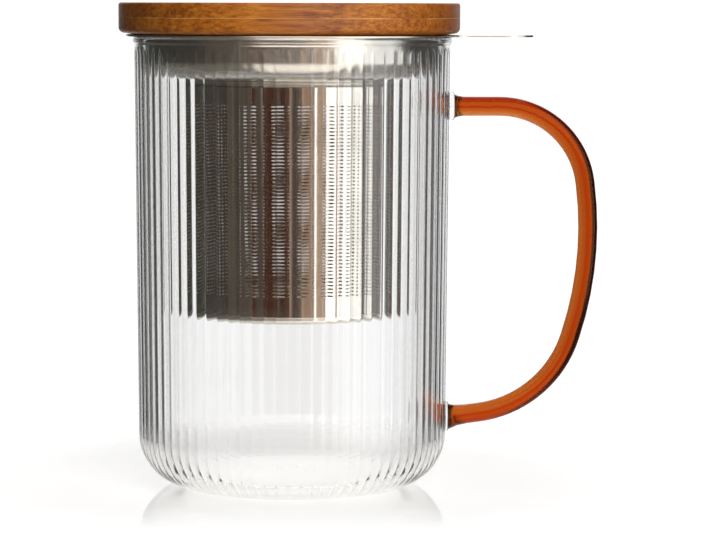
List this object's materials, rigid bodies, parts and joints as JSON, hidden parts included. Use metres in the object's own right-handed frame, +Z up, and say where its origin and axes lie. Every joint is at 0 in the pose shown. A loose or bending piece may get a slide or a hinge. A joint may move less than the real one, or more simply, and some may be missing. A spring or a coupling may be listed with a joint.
{
  "type": "lidded tea mug with infuser",
  "caption": "Ribbed clear glass tea mug with an amber glass handle, a lift-out steel infuser hung by its flange and a loose bamboo lid.",
  "frame": {"origin": "centre of the mug's flat base, on the surface that it stands on", "axes": "+Z up along the mug's axis, +X from the axis through the handle, the picture looks along +Y"},
  "size_m": [0.129, 0.0916, 0.13],
  "materials": {
    "clear_glass": "clear ribbed borosilicate glass, fire polished",
    "amber_glass": "clear amber glass, fire polished",
    "steel": "polished filter with a satin dish",
    "bamboo": "oiled pressed bamboo, edge grain",
    "silicone": "translucent white silicone"
  },
  "bodies": {
    "mug": {"mug_body": "clear_glass", "upper_handle_weld": "clear_glass", "lower_handle_weld": "clear_glass", "handle": "amber_glass"},
    "infuser": {"infuser_dish": "steel", "infuser_wall": "steel", "infuser_base": "steel"},
    "lid": {"lid_upper_ply": "bamboo", "lid_lower_ply": "bamboo", "lid_plug": "bamboo", "lid_seal": "silicone"}
  },
  "joints": [
    {"name": "infuser_lift", "type": "slide", "parent": "mug", "child": "infuser", "axis": [0, 0, 1], "range_m": [0, 0.085]},
    {"name": "lid_lift", "type": "slide", "parent": "infuser", "child": "lid", "axis": [0, 0, 1], "range_m": [0, 0.04]}
  ]
}
